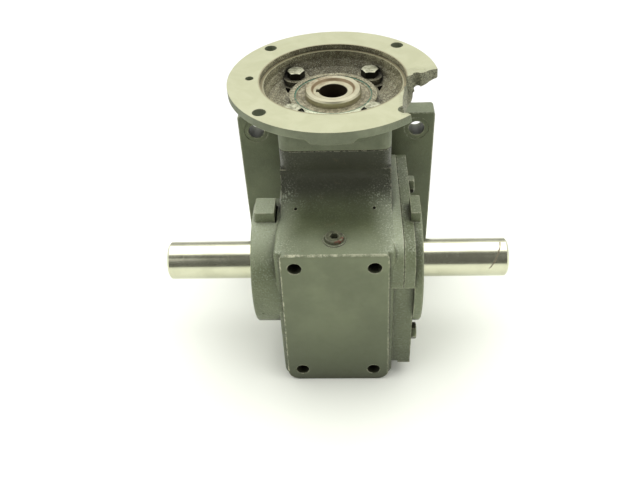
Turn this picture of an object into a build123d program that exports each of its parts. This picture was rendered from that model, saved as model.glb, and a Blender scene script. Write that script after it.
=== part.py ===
from build123d import *

import math
import os

# Right-angle worm gear reducer with a hollow input quill and a double-ended output shaft.
# Origin: centre of the motor register on the top face of the input flange.
# +X runs along the output shaft, -Y is the front with the mounting pad, +Z is up the worm.

# Input flange: a NEMA 140TC C-face
FLANGE_R = 82.55
FLANGE_RIM = 6.7
REGISTER_R = 57.15
REGISTER_DEPTH = 4.5
BOWL_R = 54.5
BOWL_FLOOR_Z = -21.0
MOTOR_BOLT_X = 52.75
MOTOR_BOLT_R = 5.15
DOWEL_CIRCLE_R = 65.3
DOWEL_R = 3.3
SEAL_BOSS_R = 35.0
SEAL_BOSS_Z = -15.0

# Parting plane between the flange casting and the gear housing
JOINT_Z = -43.5
GASKET = 0.5
NECK_TOP_Z = JOINT_Z - GASKET
NECK_MID_X = 1.0
NECK_WIDTH = 88.6
NECK_FRONT_Y = -38.0
NECK_BACK_Y = 43.0
NECK_CORNER_R = 8.0
NECK_BLEND_R = 27.0

# Gear housing
FLOOR_Z = -232.0
BODY_TOP_Z = -88.0
BODY_HALF_X = 46.0
BODY_FRONT_Y = -108.0
BODY_BACK_Y = 50.0
BODY_EDGE_R = 3.5
PAD_FRONT_Y = -111.0
PAD_TOP_HALF_X = 41.3
PAD_FOOT_HALF_X = 43.2
TOP_CORNER_R = 5.0
FOOT_CORNER_R = 10.0

# Gears: single-start worm and a 30-tooth wheel, 2.25 in apart
CENTRE_DISTANCE = 57.15
MODULE = 2.54
TEETH = 30
PRESSURE_ANGLE = math.radians(20)
WHEEL_PITCH_R = MODULE * TEETH / 2
WORM_PITCH_R = CENTRE_DISTANCE - WHEEL_PITCH_R
LEAD = math.pi * MODULE
LEAD_ANGLE = math.atan(LEAD / (2 * math.pi * WORM_PITCH_R))
FLANK_RELIEF = 0.12
WHEEL_FACE = 24.0
WORM_TURNS = 7

# Output shaft, along X
SHAFT_Y = -CENTRE_DISTANCE
SHAFT_Z = -139.2
SHAFT_R = 15.875
SHAFT_HALF = 141.0
JOURNAL_R = 17.4625
JOURNAL_LEFT_X = -66.4
JOURNAL_RIGHT_X = 68.9
HUB_SEAT_R = 19.0
CAVITY_R = 42.5

# Output bearings (34.925 x 65.088 x 18.03 taper) and seals (34.925 x 50.8 x 8)
CUP_R = 32.544
CUP_BACK_X = 58.0
CUP_WIDTH = 13.97
CONE_BACK_X = 40.0
CONE_WIDTH = 18.0
SEAL_R = 25.4
SEAL_WIDTH = 8.0

# Side cover
COVER_GASKET = 0.4
COVER_INNER_X = 53.0
COVER_OUTER_X = 61.4
COVER_BOSS_X = 68.5
COVER_BOSS_R = 52.0
COVER_TOP_Z = -88.5
COVER_FRONT_Y = -108.5
COVER_LOW_FRONT_Y = -104.3
COVER_BACK_Y = 36.0
COVER_FOOT_Z = -218.0
STEP_Z = -125.0
LIP_WIDTH = 3.8
COVER_CORNER_R = 20.0
COVER_BOLTS = [(-12, -96), (-93, -190), (26, -128), (26, -204), (-28, -204)]

# Left bearing boss
BOSS_X = -66.0
BOSS_R = 51.5
LUG_TOP_Z = -80.0

# Input bearings and quill
QUILL_R = 22.5
QUILL_TOP_Z = -10.2
QUILL_FACE_Z = -12.0
QUILL_BORE_R = 11.113
QUILL_BORE_DEPTH = 58.0
UPPER_BEARING_Z = -58.0
UPPER_BEARING_R = 34.0
UPPER_BEARING_WIDTH = 12.0
LOWER_BEARING_Z = -202.0
LOWER_BEARING_R = 26.0
LOWER_BEARING_WIDTH = 15.0
LOWER_JOURNAL_R = 12.5

# Back mounting plate
PLATE_HALF_X = 88.6
PLATE_TOP_Z = -63.0
PLATE_THICKNESS = 19.05
PLATE_HOLE_X = 72.6
PLATE_HOLE_TOP_Z = -79.0
PLATE_HOLE_FOOT_Z = -216.0
PLATE_HOLE_R = 7.1
PLATE_SCREWS = [(-30, -106), (30, -106), (-30, -214), (30, -214)]
PLATE_SCREW_DEPTH = 10.0

# Tapped holes in the front pad, 1/2-13
PAD_HOLE_X = 30.4
PAD_HOLE_TOP_Z = -101.2
PAD_HOLE_FOOT_Z = -218.8
PAD_HOLE_R = 5.4
PAD_HOLE_DEPTH = 15.0

# Flange bolts, 5/16 hex
FLANGE_BOLT_SPOTS = [(-31.2, 33), (29.8, 33), (-31, -28), (31, -28)]
FLANGE_BOLT_R = 3.9
SPOTFACE_Z = -16.6

# Running gap of rolling elements, seals and gears, and the gap of parts bolted together
RUNNING = 0.05
EASE = 0.1

UP = (Align.CENTER, Align.CENTER, Align.MIN)
DOWN = (Align.CENTER, Align.CENTER, Align.MAX)
SHAFT_AXIS = Axis((0, SHAFT_Y, SHAFT_Z), (1, 0, 0))
SHAFT_SECTION = Plane(origin=(0, SHAFT_Y, SHAFT_Z), x_dir=(1, 0, 0), z_dir=(0, -1, 0))
WORM_SECTION = Plane.XZ


def across(x):
    """Plane square to the output shaft at x, with its own x along Y and its own y along Z."""
    return Plane(origin=(x, 0, 0), x_dir=(0, 1, 0), z_dir=(1, 0, 0))


def around_shaft(x):
    """The same plane, centred on the output shaft."""
    return Plane(origin=(x, SHAFT_Y, SHAFT_Z), x_dir=(0, 1, 0), z_dir=(1, 0, 0))


def facing_front(y):
    """Plane facing the front at y, with its own x along X and its own y along Z."""
    return Plane(origin=(0, y, 0), x_dir=(1, 0, 0), z_dir=(0, -1, 0))


def turned(section, axis, outline):
    """A piece of revolution, from its closed half section."""
    with BuildPart() as piece:
        with BuildSketch(section):
            with BuildLine():
                Polyline(*outline, close=True)
            make_face()
        revolve(axis=axis)
    return piece


def neck_plan(height, inset, amount):
    """Block on the outline of the neck and the flange foot, from a height upwards."""
    with BuildPart() as block:
        with BuildSketch(Plane.XY.offset(height)):
            with Locations((NECK_MID_X, (NECK_FRONT_Y + NECK_BACK_Y) / 2)):
                RectangleRounded(NECK_WIDTH - 2 * inset, NECK_BACK_Y - NECK_FRONT_Y - 2 * inset,
                             NECK_CORNER_R)
        extrude(amount=amount)
    return block


def side_plate(start_x, end_x, top_z, low_front_y, inset=0.0):
    """Plate on the outline of the side cover, with its front stepped back below STEP_Z."""
    front, back, foot = COVER_FRONT_Y + inset, COVER_BACK_Y - inset, COVER_FOOT_Z + inset
    with BuildPart() as plate:
        with BuildSketch(across(start_x)):
            with BuildLine():
                Polyline((back, top_z - inset), (front, top_z - inset), (front, STEP_Z),
                         (low_front_y + inset, STEP_Z), (low_front_y + inset, foot), (back, foot),
                         close=True)
            make_face()
        extrude(amount=end_x - start_x)
        upright = plate.edges().filter_by(Axis.X)
        upper = upright.filter_by_position(Axis.Z, STEP_Z + 1, 0)
        fillet(upper, COVER_CORNER_R)
        lower = plate.edges().filter_by(Axis.X).filter_by_position(Axis.Z, foot - 1, foot + 1)
        fillet(lower, 3.5)
    return plate


def hex_bolt(across_flats, head_height, shank_r, shank_length):
    """A hex head screw standing on its head's underside, shank down."""
    top_r = 0.48 * across_flats
    with BuildPart() as bolt:
        with BuildSketch():
            RegularPolygon(across_flats / 2, 6, major_radius=False)
        extrude(amount=head_height)
        Cone(top_r + head_height / math.tan(math.radians(30)), top_r, head_height,
             align=UP, mode=Mode.INTERSECT)
        Cylinder(shank_r, shank_length, align=DOWN)
        chamfer(bolt.edges().group_by(Axis.Z)[0], 0.8)
    return bolt


def socket_screw(head_r, head_height, shank_r, shank_length, socket):
    """A socket head cap screw standing on its head's underside, shank down."""
    with BuildPart() as screw:
        Cylinder(head_r, head_height, align=UP)
        chamfer(screw.edges().group_by(Axis.Z)[-1], 0.5)
        with BuildSketch(Plane.XY.offset(head_height)):
            RegularPolygon(socket / 2, 6, major_radius=False)
        extrude(amount=-0.55 * head_height, mode=Mode.SUBTRACT)
        Cylinder(shank_r, shank_length, align=DOWN)
        chamfer(screw.edges().group_by(Axis.Z)[0], 0.6)
    return screw


# ---------------------------------------------------------------- input flange

# Line of the fracture where the flange lost a piece on its right-hand side
FRACTURE = [
    (88.0, 10.6), (81.9, 8.7), (78.2, 7.9), (74.7, 6.2), (72.6, 4.2), (70.1, 2.9), (68.0, 2.4),
    (65.3, 0.2), (61.5, -0.3), (58.0, -2.4), (56.0, -3.0), (55.2, -10.0), (54.2, -18.0),
    (53.6, -26.0), (52.2, -33.4), (51.6, -40.0), (51.2, -45.8), (50.9, -51.6), (52.2, -56.4),
    (54.2, -58.2), (56.6, -60.6), (60.5, -66.0), (98.0, -60.0), (98.0, 10.6),
]

with BuildPart() as input_flange:
    # Disc and bowl with its rough inside, turned in one outline
    with BuildSketch(WORM_SECTION):
        with BuildLine():
            Polyline(
                (0, BOWL_FLOOR_Z), (47, BOWL_FLOOR_Z), (52, -17), (BOWL_R, -11),
                (BOWL_R, -REGISTER_DEPTH), (REGISTER_R, -REGISTER_DEPTH), (REGISTER_R, 0),
                (FLANGE_R, 0), (FLANGE_R, -FLANGE_RIM), (66, -11.3), (63, -13.5), (51, -30), (0, -30),
                close=True,
            )
        make_face()
    revolve(axis=Axis.Z)
    # Thick pad under the rim at the front
    with BuildSketch(facing_front(-62)):
        with BuildLine():
            Polyline((-19, -6), (19, -6), (14, -10.3), (-14, -10.3), close=True)
        make_face()
    extrude(amount=22)
    Cylinder(FLANGE_R, 100, mode=Mode.INTERSECT)
    # Foot that bolts down on the housing neck
    add(neck_plan(JOINT_Z, 0, 20).part)
    # Seal boss, spigot over the upper bearing and bolt bosses
    with Locations((0, 0, BOWL_FLOOR_Z)):
        Cylinder(SEAL_BOSS_R, SEAL_BOSS_Z - BOWL_FLOOR_Z, align=UP)
    with Locations((0, 0, JOINT_Z)):
        Cylinder(UPPER_BEARING_R - EASE, 2.4, align=DOWN)
    with Locations(*[(x, y, BOWL_FLOOR_Z) for x, y in FLANGE_BOLT_SPOTS]):
        Cylinder(10.5, SPOTFACE_Z - BOWL_FLOOR_Z, align=UP)
    # Cored pockets between the bolt bosses and the seal boss
    with BuildSketch(Plane.XY.offset(BOWL_FLOOR_Z)) as pockets:
        for side in (-1, 1):
            with BuildLine():
                Polyline((side * 35.5, 21), (side * 40.5, 23.5), (side * 37, 12.5), close=True)
            make_face()
            with BuildLine():
                Polyline((side * 35.5, -16), (side * 40.5, -18.5), (side * 37, -7.5), close=True)
            make_face()
        fillet(pockets.vertices(), 0.6)
    extrude(amount=-5, mode=Mode.SUBTRACT)
    # Seal bore, shaft bore and relief over the bearing
    with Locations((0, 0, SEAL_BOSS_Z)):
        Cylinder(31, 8.5, align=DOWN, mode=Mode.SUBTRACT)
        Cylinder(27, 16, align=DOWN, mode=Mode.SUBTRACT)
    with Locations((0, 0, -31)):
        Cylinder(30.5, 16, align=DOWN, mode=Mode.SUBTRACT)
    with Locations(*[(x, y, SPOTFACE_Z) for x, y in FLANGE_BOLT_SPOTS]):
        Cylinder(FLANGE_BOLT_R + 0.4, 40, align=DOWN, mode=Mode.SUBTRACT)
        Cylinder(9.5, 8, align=UP, mode=Mode.SUBTRACT)
    # Motor bolt holes and the two small holes at the sides
    with Locations(*[(x, y, 1) for x in (-MOTOR_BOLT_X, MOTOR_BOLT_X)
                     for y in (-MOTOR_BOLT_X, MOTOR_BOLT_X)]):
        Cylinder(MOTOR_BOLT_R, 16, align=DOWN, mode=Mode.SUBTRACT)
    with Locations((-DOWEL_CIRCLE_R, 0, 1), (DOWEL_CIRCLE_R, 0, 1)):
        Cylinder(DOWEL_R, 14, align=DOWN, mode=Mode.SUBTRACT)
    # Rounded outer edges of the rim
    chamfer(input_flange.edges().filter_by(GeomType.CIRCLE).sort_by(SortBy.RADIUS)[-2:], 0.6)
    # The missing piece
    with BuildSketch(Plane.XY.offset(1)):
        with BuildLine():
            Polyline(*FRACTURE, close=True)
        make_face()
    extrude(amount=-15, taper=12, mode=Mode.SUBTRACT)

# Seal ring round the quill
input_seal = turned(WORM_SECTION, Axis.Z, [
    (QUILL_R + RUNNING, -15.6), (25, -15.6), (25.6, -16.2), (28.6, -16.2), (29.2, -15.4), (31, -15.4),
    (31, -23.4), (QUILL_R + 2, -23.4), (QUILL_R + 2, -18), (QUILL_R + RUNNING, -18),
])

# Gasket between the flange foot and the neck
with BuildPart() as flange_gasket:
    add(neck_plan(NECK_TOP_Z, 0.5, GASKET).part)
    with Locations((0, 0, NECK_TOP_Z)):
        Cylinder(UPPER_BEARING_R, 4, mode=Mode.SUBTRACT)
    with Locations(*[(x, y, NECK_TOP_Z) for x, y in FLANGE_BOLT_SPOTS]):
        Cylinder(FLANGE_BOLT_R + 0.4, 4, mode=Mode.SUBTRACT)

flange_bolt = hex_bolt(12.7, 6, FLANGE_BOLT_R, 40)
with BuildPart() as flange_bolts:
    with Locations(*[(x, y, SPOTFACE_Z) for x, y in FLANGE_BOLT_SPOTS]):
        add(flange_bolt.part)

# ---------------------------------------------------------------- gear housing

with BuildPart() as housing:
    # Body with rounded corners, seen from the front
    with BuildSketch(facing_front(BODY_BACK_Y)) as body_outline:
        with Locations((0, FLOOR_Z)):
            Rectangle(2 * BODY_HALF_X, BODY_TOP_Z - FLOOR_Z, align=(Align.CENTER, Align.MIN))
        fillet(body_outline.vertices().group_by(Axis.Y)[0], FOOT_CORNER_R)
        fillet(body_outline.vertices().group_by(Axis.Y)[-1], 4)
    extrude(amount=BODY_BACK_Y - BODY_FRONT_Y)
    fillet(housing.faces().sort_by(Axis.Y)[0].edges(), BODY_EDGE_R)
    # Machined pad on the front
    with BuildSketch(facing_front(BODY_FRONT_Y + 6)) as pad_outline:
        with BuildLine():
            Polyline((-PAD_TOP_HALF_X, BODY_TOP_Z), (PAD_TOP_HALF_X, BODY_TOP_Z), (PAD_FOOT_HALF_X, FLOOR_Z),
                     (-PAD_FOOT_HALF_X, FLOOR_Z), close=True)
        make_face()
        fillet(pad_outline.vertices().group_by(Axis.Y)[0], FOOT_CORNER_R)
        fillet(pad_outline.vertices().group_by(Axis.Y)[-1], TOP_CORNER_R)
    extrude(amount=BODY_FRONT_Y + 6 - PAD_FRONT_Y)
    chamfer(housing.faces().sort_by(Axis.Y)[0].edges(), 0.5)
    # Neck that carries the flange, blended into the top by a wide concave curve
    add(neck_plan(BODY_TOP_Z - 10, 0, NECK_TOP_Z - BODY_TOP_Z + 10).part)
    with BuildSketch(Plane.YZ.offset(NECK_MID_X - NECK_WIDTH / 2)):
        with BuildLine():
            low = (NECK_FRONT_Y - NECK_BLEND_R, BODY_TOP_Z)
            high = (NECK_FRONT_Y, BODY_TOP_Z + NECK_BLEND_R)
            RadiusArc(low, high, -NECK_BLEND_R)
            Polyline(high, (NECK_FRONT_Y + 12, BODY_TOP_Z + NECK_BLEND_R),
                     (NECK_FRONT_Y + 12, BODY_TOP_Z - 5), (NECK_FRONT_Y - NECK_BLEND_R, BODY_TOP_Z - 5), low)
        make_face()
    extrude(amount=NECK_WIDTH)
    # Flange on the right that the side cover bolts to, with a lip over the cover's lower front edge
    add(side_plate(40, COVER_INNER_X - COVER_GASKET, BODY_TOP_Z, COVER_LOW_FRONT_Y).part)
    with BuildSketch(across(COVER_INNER_X - 2)):
        with Locations((COVER_LOW_FRONT_Y, STEP_Z)):
            Rectangle(LIP_WIDTH, STEP_Z - COVER_FOOT_Z, align=(Align.MIN, Align.MAX))
    extrude(amount=COVER_OUTER_X - COVER_INNER_X + 2)
    # Bearing boss on the left with its lifting lug
    with Locations(around_shaft(-BODY_HALF_X + 6)):
        Cylinder(BOSS_R, -BODY_HALF_X + 6 - BOSS_X, align=DOWN)
    fillet(housing.faces().sort_by(Axis.X)[0].edges(), 2)
    with BuildSketch(Plane.XY.offset(-96)):
        with Locations((-54.5, -59.5)):
            RectangleRounded(17, 20, 1.2)
    extrude(amount=LUG_TOP_Z + 96)
    with Locations((-46.6, -59.5, LUG_TOP_Z + 1)):
        Box(1.2, 20.2, 17, align=DOWN, mode=Mode.SUBTRACT)
    # Casting pit on the left boss
    with Locations((-59, -107, -154)):
        Sphere(1.2, mode=Mode.SUBTRACT)
    # Raised ring round the filler
    with Locations((0, -93, BODY_TOP_Z)):
        Cylinder(8.8, 0.8, align=UP)
    # Oil space, wheel chamber and worm chamber
    with BuildSketch(Plane.XY.offset(-214)):
        with Locations((1, -29)):
            RectangleRounded(70, 122, 8)
    extrude(amount=110, mode=Mode.SUBTRACT)
    with Locations(around_shaft(-26)):
        Cylinder(CAVITY_R + 2, 60, align=UP, mode=Mode.SUBTRACT)
        Cylinder(CAVITY_R, 90, align=UP, mode=Mode.SUBTRACT)
    # Boss of the lower worm bearing inside the oil space
    with Locations((0, 0, -216)):
        Cylinder(38, 34, align=UP)
    with Locations(around_shaft(-14)):
        Cylinder(CAVITY_R + 2, 28, align=UP, mode=Mode.SUBTRACT)
    with Locations((0, 0, NECK_TOP_Z)):
        Cylinder(UPPER_BEARING_R, NECK_TOP_Z - UPPER_BEARING_Z, align=DOWN, mode=Mode.SUBTRACT)
        Cylinder(28, 80, align=DOWN, mode=Mode.SUBTRACT)
    # Lower bearing bore with the recess of its end cap
    with Locations((0, 0, -180)):
        Cylinder(22.6, 20, align=DOWN, mode=Mode.SUBTRACT)
    with Locations((0, 0, LOWER_BEARING_Z + LOWER_BEARING_WIDTH)):
        Cylinder(LOWER_BEARING_R, 60, align=DOWN, mode=Mode.SUBTRACT)
    with Locations((0, 0, -214)):
        Cylinder(39, 30, align=DOWN, mode=Mode.SUBTRACT)
    with Locations((0, 0, -214)):
        with PolarLocations(32.5, 4, start_angle=45):
            Cylinder(3, 14, align=UP, mode=Mode.SUBTRACT)
    # Left output bearing and seal bores
    with Locations(around_shaft(-CUP_BACK_X)):
        Cylinder(CUP_R, 30, align=UP, mode=Mode.SUBTRACT)
        Cylinder(SEAL_R, 20, align=DOWN, mode=Mode.SUBTRACT)
    # Tapped holes in the pad
    with Locations(facing_front(PAD_FRONT_Y)):
        with Locations(*[(x, z) for x in (-PAD_HOLE_X, PAD_HOLE_X)
                         for z in (PAD_HOLE_TOP_Z, PAD_HOLE_FOOT_Z)]):
            Cylinder(PAD_HOLE_R, 2 * PAD_HOLE_DEPTH, mode=Mode.SUBTRACT)
            Cone(PAD_HOLE_R - 0.6, PAD_HOLE_R + 0.6, 1.2, mode=Mode.SUBTRACT)
    # Tapped holes for the flange bolts, the side cover and the back plate
    with Locations(*[(x, y, NECK_TOP_Z) for x, y in FLANGE_BOLT_SPOTS]):
        Cylinder(FLANGE_BOLT_R + EASE, 16, align=DOWN, mode=Mode.SUBTRACT)
    with Locations(*[across(COVER_INNER_X - COVER_GASKET) * Location((y, z, 0)) for y, z in COVER_BOLTS]):
        Cylinder(4.1, 15, align=DOWN, mode=Mode.SUBTRACT)
    with Locations(facing_front(BODY_BACK_Y)):
        with Locations(*PLATE_SCREWS):
            Cylinder(5.1, 15, align=UP, mode=Mode.SUBTRACT)
    # Filler, drain, nameplate pin holes and a casting pit
    with Locations((0, -93, BODY_TOP_Z + 1)):
        Cylinder(5.6, 30, align=DOWN, mode=Mode.SUBTRACT)
    with Locations((0, -80, FLOOR_Z)):
        Cylinder(10, 5, align=UP, mode=Mode.SUBTRACT)
        Cylinder(5.6, 24, align=UP, mode=Mode.SUBTRACT)
    with Locations((-31.4, -56, BODY_TOP_Z), (31.4, -56, BODY_TOP_Z)):
        Cylinder(1.25, 10, mode=Mode.SUBTRACT)


# ---------------------------------------------------------------- worm and its bearings

THREAD_START_Z = SHAFT_Z - LEAD * (WORM_TURNS // 2 + 0.75)
WORM_ROOT_R = WORM_PITCH_R - 1.25 * MODULE
WORM_TIP_R = WORM_PITCH_R + MODULE


def thread_half_width(radius):
    """Half the axial width of the worm thread at a radius."""
    at_pitch = LEAD / 4 - FLANK_RELIEF
    return at_pitch - (radius - WORM_PITCH_R) * math.tan(PRESSURE_ANGLE)


with BuildPart() as worm_shaft:
    with BuildSketch(WORM_SECTION):
        with BuildLine():
            Polyline(
                (0, QUILL_FACE_Z), (16, QUILL_FACE_Z), (17.2, QUILL_TOP_Z),
                (QUILL_R - 1.2, QUILL_TOP_Z), (QUILL_R, QUILL_TOP_Z - 1.4),
                (QUILL_R, UPPER_BEARING_Z), (26, UPPER_BEARING_Z), (26, -63), (20, -72), (20, -78),
                (WORM_ROOT_R, -86), (WORM_ROOT_R, -174), (15, -176), (15, -187), (LOWER_JOURNAL_R, -187),
                (LOWER_JOURNAL_R, -207), (11.5, -208), (0, -208), close=True,
            )
        make_face()
    revolve(axis=Axis.Z)
    # Single-start thread
    with BuildLine() as thread_path:
        Helix(LEAD, LEAD * WORM_TURNS, WORM_PITCH_R, center=(0, 0, THREAD_START_Z))
    thread_plane = Plane(origin=thread_path.line @ 0, x_dir=(1, 0, 0), z_dir=thread_path.line % 0)
    with BuildSketch(thread_plane):
        root, tip = WORM_ROOT_R - 0.4, WORM_TIP_R
        low, high = root - WORM_PITCH_R, tip - WORM_PITCH_R
        with BuildLine():
            Polyline(
                (low, -thread_half_width(root)), (high, -thread_half_width(tip)),
                (high, thread_half_width(tip)), (low, thread_half_width(root)), close=True,
            )
        make_face()
    sweep(path=thread_path.line, is_frenet=True)
    # Grooves of the two retaining rings
    for groove_z, groove_r, outer_r in ((-44.4, 21.6, 24), (-202.2, 11.8, 14)):
        with BuildSketch(Plane.XY.offset(groove_z)):
            Circle(outer_r)
            Circle(groove_r, mode=Mode.SUBTRACT)
        extrude(amount=-1.5, mode=Mode.SUBTRACT)
    # Bore for the motor shaft, with its keyway and lead-in
    with Locations((0, 0, QUILL_FACE_Z)):
        Cylinder(QUILL_BORE_R, QUILL_BORE_DEPTH, align=DOWN, mode=Mode.SUBTRACT)
        Cone(QUILL_BORE_R, QUILL_BORE_R + 0.6, 0.6, align=DOWN, mode=Mode.SUBTRACT)
    with Locations((-9, 0, QUILL_FACE_Z)):
        Box(9, 4.76, QUILL_BORE_DEPTH - 6, align=DOWN, mode=Mode.SUBTRACT)


def ball_bearing(foot_z, width, bore_r, outer_r, ball_r, count):
    """Inner ring, outer ring, balls and cage of a deep groove bearing on the worm axis."""
    mid_z = foot_z + width / 2
    pitch_r = (bore_r + outer_r) / 2
    shoulder = 0.5 * ball_r
    rings = []
    for low_r, high_r in ((bore_r, pitch_r - shoulder), (pitch_r + shoulder, outer_r)):
        with BuildPart() as ring:
            with BuildSketch(WORM_SECTION):
                with Locations(((low_r + high_r) / 2, mid_z)):
                    Rectangle(high_r - low_r, width)
                with Locations((pitch_r, mid_z)):
                    Circle(ball_r + RUNNING, mode=Mode.SUBTRACT)
            revolve(axis=Axis.Z)
            chamfer(ring.edges().filter_by(GeomType.CIRCLE).group_by(Axis.Z)[-1], 0.5)
        rings.append(ring)
    with BuildPart() as balls:
        with Locations((0, 0, mid_z)):
            with PolarLocations(pitch_r, count):
                Sphere(ball_r)
    with BuildPart() as cage:
        with Locations((0, 0, mid_z)):
            Cylinder(pitch_r + 0.3 * ball_r, 2 * ball_r + 2.4)
            Cylinder(pitch_r - 0.3 * ball_r, 2 * ball_r + 2.4, mode=Mode.SUBTRACT)
            with PolarLocations(pitch_r, count):
                Cylinder(ball_r + EASE, 3 * ball_r, rotation=(0, 90, 0), mode=Mode.SUBTRACT)
    return rings[0], rings[1], balls, cage


upper_inner_ring, upper_outer_ring, upper_balls, upper_cage = ball_bearing(
    UPPER_BEARING_Z, UPPER_BEARING_WIDTH, QUILL_R, UPPER_BEARING_R, 3.2, 16)
lower_inner_ring, lower_outer_ring, lower_balls, lower_cage = ball_bearing(
    LOWER_BEARING_Z, LOWER_BEARING_WIDTH, LOWER_JOURNAL_R, LOWER_BEARING_R, 3.97, 9)


def retaining_ring(top_z, inner_r, outer_r):
    """Open spring ring that snaps into a groove of the worm shaft."""
    with BuildPart() as ring:
        with BuildSketch(Plane.XY.offset(top_z)):
            Circle(outer_r)
            Circle(inner_r, mode=Mode.SUBTRACT)
            with Locations((0, -outer_r)):
                Rectangle(5, outer_r, mode=Mode.SUBTRACT)
        extrude(amount=-1.3)
    return ring


upper_retaining_ring = retaining_ring(-44.5, 21.7, 25.5)
lower_retaining_ring = retaining_ring(-202.3, 11.9, 15.5)

# Cap under the lower bearing, with its gasket and screws
CAP_SEAT_Z = -214.0
CAP_GASKET = 0.3
CAP_FACE_Z = -220.0
CAP_SCREW_CIRCLE_R = 32.5
end_cap = turned(WORM_SECTION, Axis.Z, [
    (0, CAP_FACE_Z), (37.5, CAP_FACE_Z), (38.5, CAP_FACE_Z + 1), (38.5, CAP_SEAT_Z - CAP_GASKET),
    (LOWER_BEARING_R - EASE, CAP_SEAT_Z - CAP_GASKET), (LOWER_BEARING_R - EASE, LOWER_BEARING_Z - EASE),
    (22, LOWER_BEARING_Z - EASE), (22, -211), (0, -211),
])
with end_cap:
    with Locations((0, 0, CAP_FACE_Z)):
        with PolarLocations(CAP_SCREW_CIRCLE_R, 4, start_angle=45):
            Cylinder(3.3, 20, mode=Mode.SUBTRACT)

with BuildPart() as end_cap_gasket:
    with BuildSketch(Plane.XY.offset(CAP_SEAT_Z)):
        Circle(38.2)
        Circle(LOWER_BEARING_R, mode=Mode.SUBTRACT)
        with PolarLocations(CAP_SCREW_CIRCLE_R, 4, start_angle=45):
            Circle(3.3, mode=Mode.SUBTRACT)
    extrude(amount=-CAP_GASKET)

cap_screw = socket_screw(4.9, 5, 2.9, 18, 5)
with BuildPart(Plane(origin=(0, 0, CAP_FACE_Z), z_dir=(0, 0, -1))) as end_cap_screws:
    with PolarLocations(CAP_SCREW_CIRCLE_R, 4, start_angle=45):
        add(cap_screw.part)

# ---------------------------------------------------------------- output shaft and wheel

KEY_WIDTH = 6.35
SPACER_R = 21.0
with BuildPart() as output_shaft:
    with BuildSketch(SHAFT_SECTION):
        with BuildLine():
            Polyline(
                (-SHAFT_HALF, 0), (-SHAFT_HALF, SHAFT_R - 1.5), (-SHAFT_HALF + 1.5, SHAFT_R),
                (JOURNAL_LEFT_X, SHAFT_R), (JOURNAL_LEFT_X, JOURNAL_R), (-CONE_BACK_X, JOURNAL_R),
                (-CONE_BACK_X, SPACER_R), (-20, SPACER_R), (-20, HUB_SEAT_R), (20, HUB_SEAT_R),
                (20, JOURNAL_R), (JOURNAL_RIGHT_X, JOURNAL_R), (JOURNAL_RIGHT_X, SHAFT_R),
                (SHAFT_HALF - 1.5, SHAFT_R), (SHAFT_HALF, SHAFT_R - 1.5), (SHAFT_HALF, 0),
                close=True,
            )
        make_face()
    revolve(axis=SHAFT_AXIS)
    # Keyseats at both ends, turned to the lower rear
    for middle_x in (-110, 110):
        with Locations(around_shaft(middle_x) * Rotation(0, 0, -60) * Location((SHAFT_R + 1.8, 0, 0))):
            Box(10, KEY_WIDTH, 50, mode=Mode.SUBTRACT)
    # Keyseat of the wheel
    with Locations(around_shaft(0) * Location((0, 18, 0))):
        Box(8, 6, 36, mode=Mode.SUBTRACT)

with BuildPart() as wheel_key:
    with Locations(around_shaft(0) * Location((0, 18.6, 0))):
        Box(8 - EASE, 6.6, 35.8)
    chamfer(wheel_key.edges().filter_by(Axis.X), 0.3)

RIM_BORE_R = 31.0
RIM_SCREW_R = 2.5
wheel_hub = turned(SHAFT_SECTION, SHAFT_AXIS, [
    (-20, HUB_SEAT_R), (-20, 26), (-19, 27), (-WHEEL_FACE / 2, 27), (-WHEEL_FACE / 2, RIM_BORE_R),
    (WHEEL_FACE / 2, RIM_BORE_R), (WHEEL_FACE / 2, 27), (19, 27), (20, 26), (20, HUB_SEAT_R),
])
with wheel_hub:
    with Locations(around_shaft(0) * Location((0, 18, 0))):
        Box(8, 8.2, 60, mode=Mode.SUBTRACT)
    with Locations(around_shaft(WHEEL_FACE / 2)):
        with PolarLocations(RIM_BORE_R, 6, start_angle=30):
            Cylinder(RIM_SCREW_R, 12, align=DOWN, mode=Mode.SUBTRACT)


def involute(angle):
    return math.tan(angle) - angle


def space_half_angle(radius):
    """Half the angle of the gap between two wheel teeth at a radius."""
    base_r = WHEEL_PITCH_R * math.cos(PRESSURE_ANGLE)
    flank = involute(math.acos(base_r / radius)) if radius > base_r else 0
    tooth = math.pi / (2 * TEETH) - FLANK_RELIEF / WHEEL_PITCH_R + involute(PRESSURE_ANGLE) - flank
    return math.pi / TEETH - tooth


def on_flank(radius, side):
    angle = side * space_half_angle(radius)
    return (radius * math.cos(angle), radius * math.sin(angle))


# One gap between teeth, pointing along its own +X, tilted by the lead angle
WHEEL_ROOT_R = WHEEL_PITCH_R - 1.25 * MODULE
WHEEL_TIP_R = WHEEL_PITCH_R + MODULE
GAP_PLANE = Plane(origin=(0, 0, 0), x_dir=(1, 0, 0),
                  z_dir=(0, math.sin(LEAD_ANGLE), math.cos(LEAD_ANGLE)))
with BuildPart() as tooth_gap:
    with BuildSketch(GAP_PLANE):
        flank_radii = [35.9, 36.6, WHEEL_PITCH_R, 39.4, WHEEL_TIP_R + 0.4]
        with BuildLine():
            lower = Spline(*[on_flank(radius, -1) for radius in flank_radii])
            upper = Spline(*[on_flank(radius, 1) for radius in flank_radii])
            Line(lower @ 1, upper @ 1)
            Polyline(lower @ 0, on_flank(WHEEL_ROOT_R, -0.8), on_flank(WHEEL_ROOT_R, 0.8), upper @ 0)
        make_face()
    extrude(amount=WHEEL_FACE, both=True)

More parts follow.
